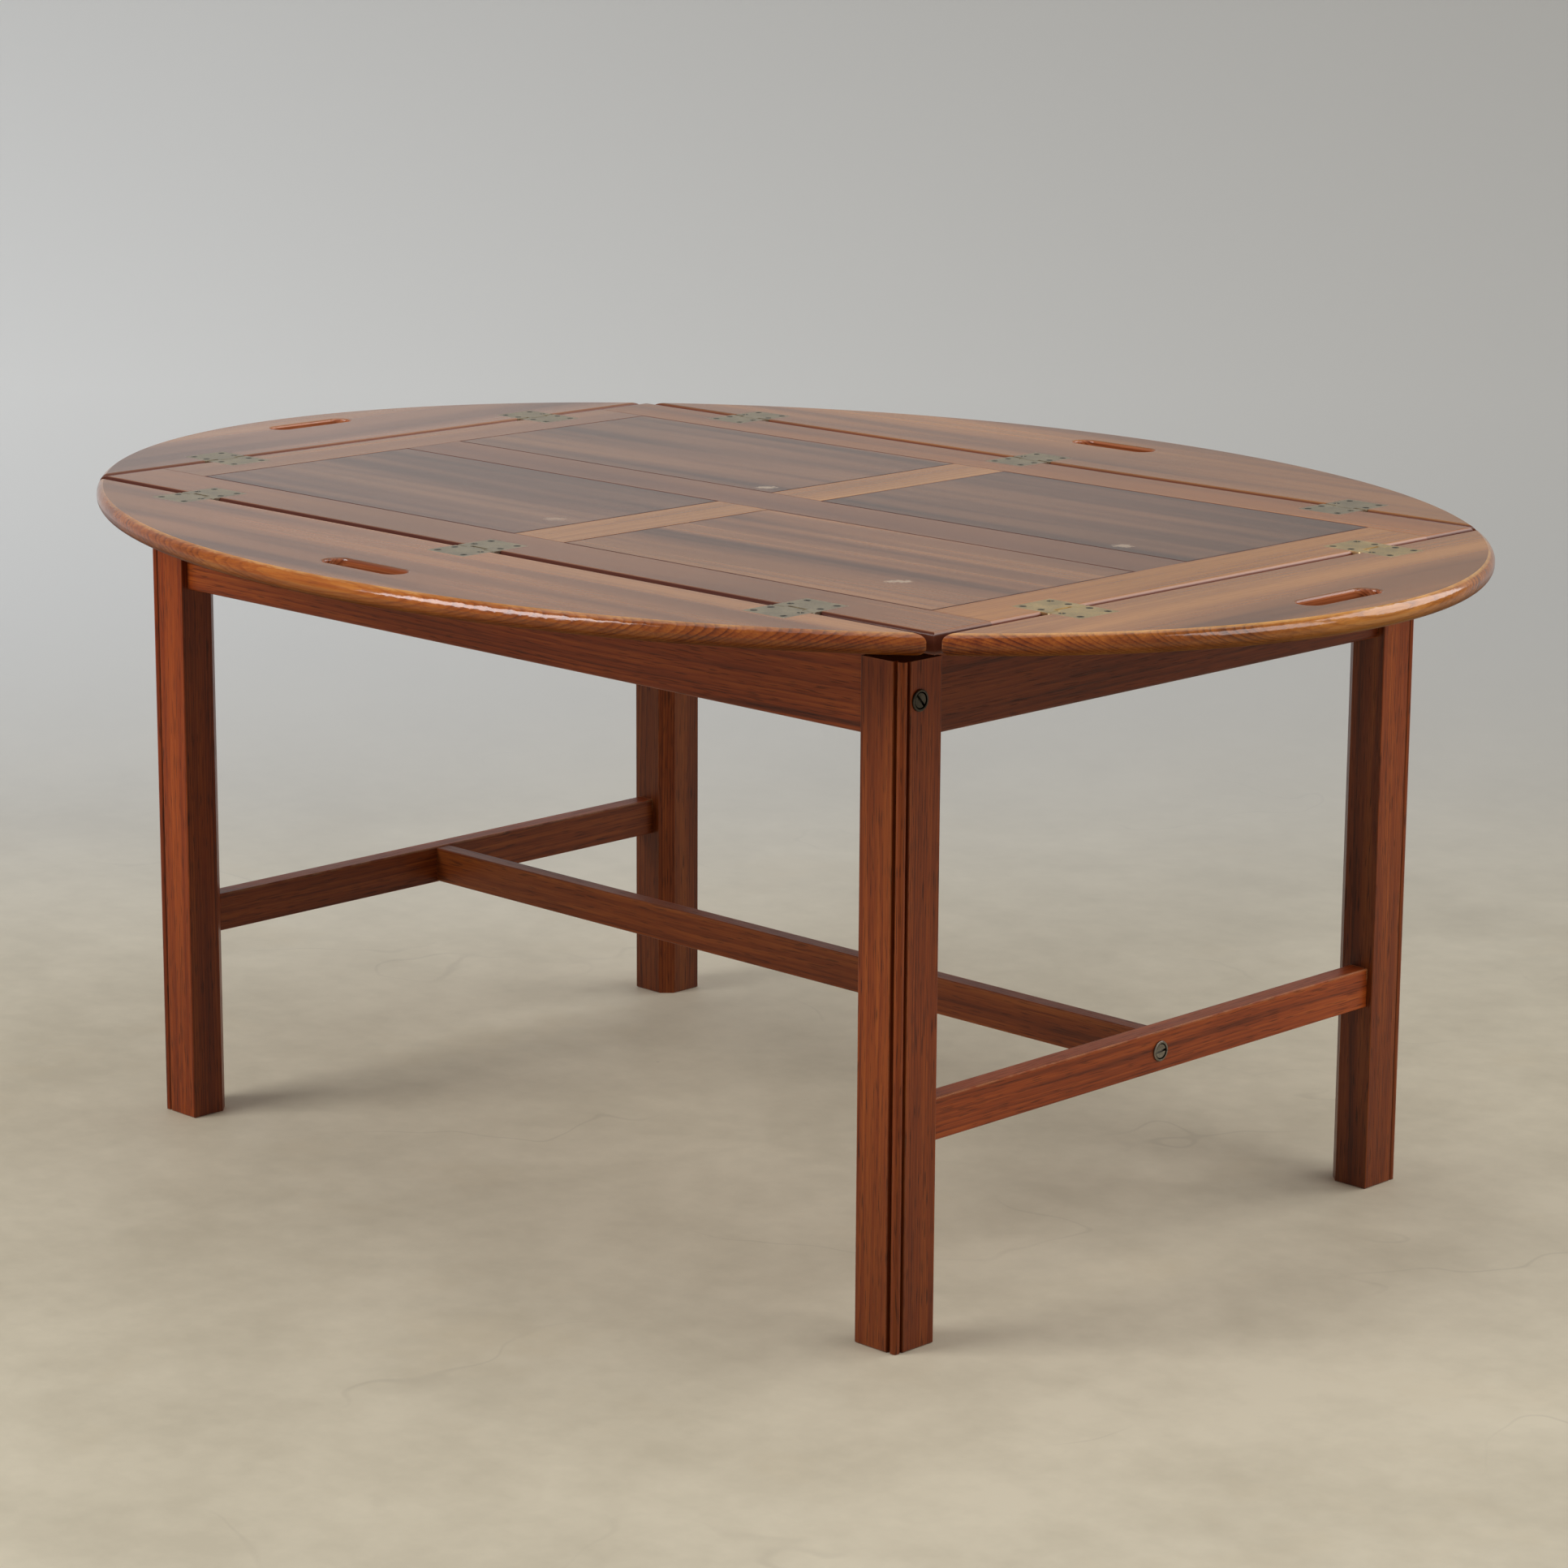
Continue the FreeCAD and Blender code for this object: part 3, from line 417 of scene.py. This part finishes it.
# the right end rail and the two mullions get lighter, more golden colours: partly their own tone, partly a painted
# sheen of their cross grain
for i, (n, axis, mid) in enumerate((
        ("long_rail_front", "x", (0.255, 0.096, 0.040)), ("long_rail_back", "x", (0.300, 0.092, 0.017)),
        ("mid_rail", "x", (0.205, 0.072, 0.032)), ("end_rail_left", "y", (0.260, 0.104, 0.048)),
        ("end_rail_right", "y", (0.420, 0.152, 0.034)), ("mullion_front", "y", (0.440, 0.184, 0.060)),
        ("mullion_back", "y", (0.420, 0.172, 0.052)))):
    # in the gaps the front rail's wall is painted nearly black as shade, and the right end rail's a lighter red as
    # painted light
    give(n, wood("tray_wood_" + n, axis, centre(n), tones(*mid), 23 + i, broad=0.25 if n == "long_rail_front" else 0.7, streak=0.5, ring=0.25, coat=0.90,
                 joint_dirt_and_gap_shade={"long_rail_front": (0.080, 0.017, 0.014), "end_rail_right": (0.190, 0.044, 0.028)}.get(n, JOINT_DIRT_AND_GAP_SHADE),
                 arris_highlight=((1.0, 0.0, 0.0), (0.76, 0.46, 0.34), 0.72 if n == "end_rail_right" else 0.45) if n in ("end_rail_right", "long_rail_front", "long_rail_back") else None,
                 fade=(0.24, 0.42, 1.45) if n == "long_rail_front" else None, **TOP))
SCUFFS = {"panel_back_left": ((-0.047, 0.043, 0.0135, 0.0095, 0.78, 0.75),),
          "panel_front_left": ((-0.052, -0.172, 0.0130, 0.0100, 0.78, 0.35),),
          "panel_front_right": ((0.297, -0.173, 0.0150, 0.0090, 0.80, 0.70),),
          "panel_back_right": ((0.311, 0.045, 0.0110, 0.0110, 0.60, 0.60),)}
for i, (n, mid) in enumerate((("panel_front_left", (0.170, 0.073, 0.044)), ("panel_front_right", (0.240, 0.094, 0.041)),
                              ("panel_back_left", (0.200, 0.083, 0.043)), ("panel_back_right", (0.150, 0.059, 0.032)))):
    give(n, wood("panel_wood_" + n, "x", centre(n), tones(*mid, low=0.42, high=1.75), 37 + i, pith=(0.02, -0.30), ring_mm=5.0,
                 ring=0.2, broad=1.40, broad_w=27.0, streak=0.4, joint_dirt_and_gap_shade=JOINT_DIRT_AND_GAP_SHADE, scuffs=SCUFFS[n], coat=0.90,
                 seam_dirt_and_shade=(tuple(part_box(n)[0])[:2], tuple(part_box(n)[1])[:2], 0.0050, 0.0022), **TOP))
for i, (n, ax, pith, mid) in enumerate((
        ("leaf_front", "x", (0.10, -0.09), (0.340, 0.132, 0.052)), ("leaf_back", "x", (-0.10, -0.10), (0.298, 0.109, 0.034)),
        ("leaf_left", "y", (0.09, -0.09), (0.300, 0.135, 0.080)), ("leaf_right", "y", (-0.09, -0.10), (0.325, 0.122, 0.037)))):
    lo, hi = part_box(n)
    side = 0 if ax == "y" else 1
    hole = [0.0, 0.0]
    hole[side] = (0.540 if side == 0 else 0.398) * math.copysign(1.0, lo[side] + hi[side])
    give(n, wood("leaf_wood_" + n, ax, centre(n), tones(*mid, low=0.42, high=1.65), 43 + i, pith=pith, ring_mm=2.3, ring=0.2, broad=1.40, broad_w=26.0 if n == "leaf_back" else 18.0,
                 streak=0.50 if n == "leaf_back" else 0.36, coat=0.88, coat_rough=0.12, coat_ior=1.65, edge=WORN, edge_amount=0.2, rim=(OVAL, GOLD_RIM if n == "leaf_right" else RIM), hole=hole, **TOP))
for i, n in enumerate(("bearer_left", "bearer_right")):
    give(n, wood("bearer_wood_" + n, "y", centre(n), STAND, 51 + i, edge=WORN, edge_amount=0.2))


# ---------------------------------------------------------------- metal

def metal(name, light, dark, seed, rough=0.38, spots=0.5, scale=60.0, rubbed=None):
    """Old metal: a tarnish that varies in colour and gloss, fine scratches and dark specks.
    rubbed is a lighter pair of colours for the ones low on the stand."""
    t = Tree(name)
    obj = t.coords()
    off = (seed * 2.3 % 9, seed * 5.1 % 7, seed * 3.7 % 8)
    a = t.noise(t.vec("ADD", t.vec("MULTIPLY", obj, (scale,) * 3), off), 1.0, 3.0, 0.6)
    b = t.noise(t.vec("ADD", t.vec("MULTIPLY", obj, (scale * 9,) * 3), off), 1.0, 3.0, 0.65)
    c = t.noise(t.vec("ADD", t.vec("MULTIPLY", obj, (scale * 6, scale * 30, scale * 6)), off), 1.0, 2.0, 0.5)
    tone = t.math("MULTIPLY_ADD", t.math("SUBTRACT", b, 0.5), 0.7, a)
    colour = t.ramp(tone, [(0.28, dark), (0.68, light)])
    if rubbed is not None:
        low = t.remap(t.split(obj)[2], 0.31, 0.29)
        colour = t.mix(low, colour, t.ramp(tone, [(0.28, rubbed[1]), (0.68, rubbed[0])]))
    speck = t.math("MULTIPLY", t.remap(b, 0.62, 0.70), spots)
    colour = t.mix(speck, colour, tuple(x * 0.25 for x in dark))
    roughness = t.math("ADD", t.math("MULTIPLY_ADD", a, 0.22, rough - 0.11), t.math("MULTIPLY", speck, 0.2))
    height = t.math("MULTIPLY_ADD", c, 0.6, b)
    t.set(Base_Color=colour, Metallic=1.0, Roughness=roughness, Normal=t.bump(height, 0.00006, 0.5))
    return t.mat


GREY_BRASS = ((0.55, 0.47, 0.34), (0.36, 0.30, 0.21))
YELLOW_BRASS = ((0.82, 0.62, 0.33), (0.56, 0.42, 0.21))
for i, n in enumerate(sorted(k for k in NODES if k.startswith("hinge_") and "plate" in k)):
    light, dark = YELLOW_BRASS if "_right_" in n else GREY_BRASS
    give(n, metal("hinge_brass_" + n, light, dark, i + 1, rough=0.36))
give("hinge_pins", metal("hinge_brass_pins", *GREY_BRASS, 31))
SCREW = ((0.10, 0.088, 0.066), (0.040, 0.035, 0.028))
for i, n in enumerate(sorted(k for k in NODES if "screws" in k and k != "bearer_screws")):
    give(n, metal("screw_brass_" + n, *SCREW, 41 + i, rough=0.42, scale=200.0))
BRONZE = ((0.095, 0.084, 0.068), (0.034, 0.030, 0.025))
for i, n in enumerate(("bolts", "bolt_collars")):
    give(n, metal("bronze_" + n, *BRONZE, 51 + i, rough=0.34, scale=120.0, rubbed=((0.30, 0.27, 0.23), (0.13, 0.117, 0.098))))
STEEL = ((0.45, 0.44, 0.42), (0.25, 0.24, 0.23))
for i, n in enumerate(("barrel_nuts", "bearer_screws")):
    give(n, metal("steel_" + n, *STEEL, 57 + i, rough=0.34, scale=90.0))


# ---------------------------------------------------------------- floor and backdrop

def sweep():
    """A pale floor that curves up into a plain wall behind the table. The sheet is one-sided:
    it shows and blocks light on the table's side, and is clear from behind and from below,
    so the table's far side and underside can be looked at too."""
    far, radius, wall, near, half = 1.10, 1.10, 3.2, 7.5, 6.0
    profile = [(-near + (far + near) * k / 12, 0.0) for k in range(13)]
    for k in range(1, 33):
        a = math.pi / 2 * k / 32
        profile.append((far + radius * math.sin(a), radius * (1 - math.cos(a))))
    profile.append((far + radius, wall))
    verts, faces = [], []
    cols = 13
    for dist, z in profile:
        for c in range(cols):
            s = -half + 2 * half * c / (cols - 1)
            p = AWAY * dist + SIDE * s
            verts.append((p.x, p.y, z))
    for r in range(len(profile) - 1):
        for c in range(cols - 1):
            a = r * cols + c
            faces.append((a, a + 1, a + cols + 1, a + cols))
    me = bpy.data.meshes.new("studio_sweep")
    me.from_pydata(verts, [], faces)
    me.polygons.foreach_set("use_smooth", [True] * len(me.polygons))
    o = bpy.data.objects.new("studio_sweep", me)
    scene.collection.objects.link(o)
    t = Tree("studio_sweep")
    obj = t.coords()
    x, y, z = t.split(obj)
    away = t.math("ADD", t.math("MULTIPLY", x, AWAY.x), t.math("MULTIPLY", y, AWAY.y))
    blend = t.remap(t.math("ADD", away, z), 0.05, 1.85, smooth=True)
    mottle = t.noise(obj, 2.2, 4.0, 0.55)
    cloudy = t.noise(obj, 9.0, 5.0, 0.62)
    fine = t.noise(obj, 40.0, 3.0, 0.6)
    tone = t.math("MULTIPLY_ADD", t.math("SUBTRACT", fine, 0.5), 0.45, mottle)
    tone = t.math("MULTIPLY_ADD", t.math("SUBTRACT", cloudy, 0.5), 0.80, tone)
    floor = t.ramp(tone, [(0.25, (0.622, 0.550, 0.407)), (0.75, (0.754, 0.673, 0.509))])
    # faint stains, wandering hairlines, and a few specks
    stain = t.remap(t.noise(t.vec("ADD", obj, (3.1, 7.7, 0.0)), 4.5, 5.0, 0.66), 0.56, 0.72, 0.0, 0.30)
    floor = t.mix(stain, floor, (0.640, 0.530, 0.350))
    wander = t.math("ABSOLUTE", t.math("SUBTRACT", t.noise(t.vec("ADD", obj, (9.4, 1.3, 0.0)), 2.6, 3.0, 0.5), 0.5))
    broken = t.remap(t.noise(t.vec("ADD", obj, (5.0, 2.0, 0.0)), 3.4, 2.0, 0.5), 0.52, 0.62)
    hair = t.math("MULTIPLY", t.remap(wander, 0.0035, 0.0008), broken)
    floor = t.mix(t.math("MULTIPLY", hair, 0.22), floor, (0.40, 0.34, 0.25))
    for scale, shift, reach, amount, tint in ((11.0, 0.0, 0.016, 0.55, (0.88, 0.84, 0.76)), (9.0, 4.3, 0.022, 0.40, (0.26, 0.22, 0.17))):
        cells = t.nt.nodes.new("ShaderNodeTexVoronoi")
        t.put(cells.inputs["Vector"], t.vec("ADD", obj, (shift, shift, 0.0)))
        t.put(cells.inputs["Scale"], scale)
        some = t.remap(t.split(cells.outputs["Color"])[0], 0.66, 0.68)
        speck = t.math("MULTIPLY", t.remap(cells.outputs["Distance"], reach, reach * 0.5), some)
        floor = t.mix(t.math("MULTIPLY", speck, amount), floor, tint)
    across = t.math("ADD", t.math("MULTIPLY", x, SIDE.x), t.math("MULTIPLY", y, SIDE.y))
    height = t.math("ADD", away, z)
    # the wall is painted lighter on the left and at middle height, darker low down, at the top and to the right:
    # painted light and shade
    shade = t.math("SUBTRACT", t.remap(height, 0.8, 2.2, -0.16, 0.10), t.remap(height, 2.2, 3.0, 0.0, 0.17))
    shade = t.math("MULTIPLY", shade, t.remap(across, -0.9, 0.9, 1.3, 0.4))
    shade = t.math("ADD", shade, t.remap(across, -1.3, 1.3, 1.31, 0.73))
    wall = t.ramp(t.remap(across, -1.0, 1.0), [(0.0, (0.575, 0.582, 0.582)), (1.0, (0.580, 0.571, 0.543))])
    wall = t.mix(1.0, wall, t.join(shade, shade, shade), "MULTIPLY")
    colour = t.mix(blend, floor, wall)
    t.set(Base_Color=colour, Roughness=0.6)
    sides = t.nt.nodes.new("ShaderNodeMixShader")
    clear = t.nt.nodes.new("ShaderNodeBsdfTransparent")
    t.put(sides.inputs[0], t.nt.nodes.new("ShaderNodeNewGeometry").outputs["Backfacing"])
    t.put(sides.inputs[1], t.bsdf.outputs[0])
    t.put(sides.inputs[2], clear.outputs[0])
    t.put(t.out.inputs["Surface"], sides.outputs[0])
    o.data.materials.append(t.mat)
    o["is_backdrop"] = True


sweep()


# ---------------------------------------------------------------- light

def softbox(name, at, look, size, watts, tint=(1, 1, 1)):
    data = bpy.data.lights.new(name, "AREA")
    data.shape, data.size, data.size_y = "RECTANGLE", size[0], size[1]
    data.energy, data.color = watts, tint
    o = bpy.data.objects.new(name, data)
    o.matrix_world = Matrix.Translation(at) @ (Vector(look) - Vector(at)).to_track_quat("-Z", "Y").to_matrix().to_4x4()
    scene.collection.objects.link(o)
    return o


aim = Vector((0, 0, 0.4))
softbox("left_softbox", -2.72 * SIDE - 1.11 * AWAY + Vector((0, 0, 2.20)), aim, (1.7, 1.6), 55)
softbox("right_front_softbox", 2.56 * SIDE - 1.44 * AWAY + Vector((0, 0, 2.05)), aim, (1.6, 1.6), 22)
softbox("right_back_softbox", 2.95 * SIDE + 0.9 * AWAY + Vector((0, 0, 2.0)), aim, (2.3, 2.0), 38)
softbox("overhead", Vector((0, 0, 3.2)), aim, (3.0, 3.0), 21)

world = bpy.data.worlds.new("studio")
world.use_nodes = True
world.node_tree.nodes["Background"].inputs["Color"].default_value = (0.97, 0.98, 1.0, 1.0)
world.node_tree.nodes["Background"].inputs["Strength"].default_value = 0.21
scene.world = world


# ---------------------------------------------------------------- finish

lo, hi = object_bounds()
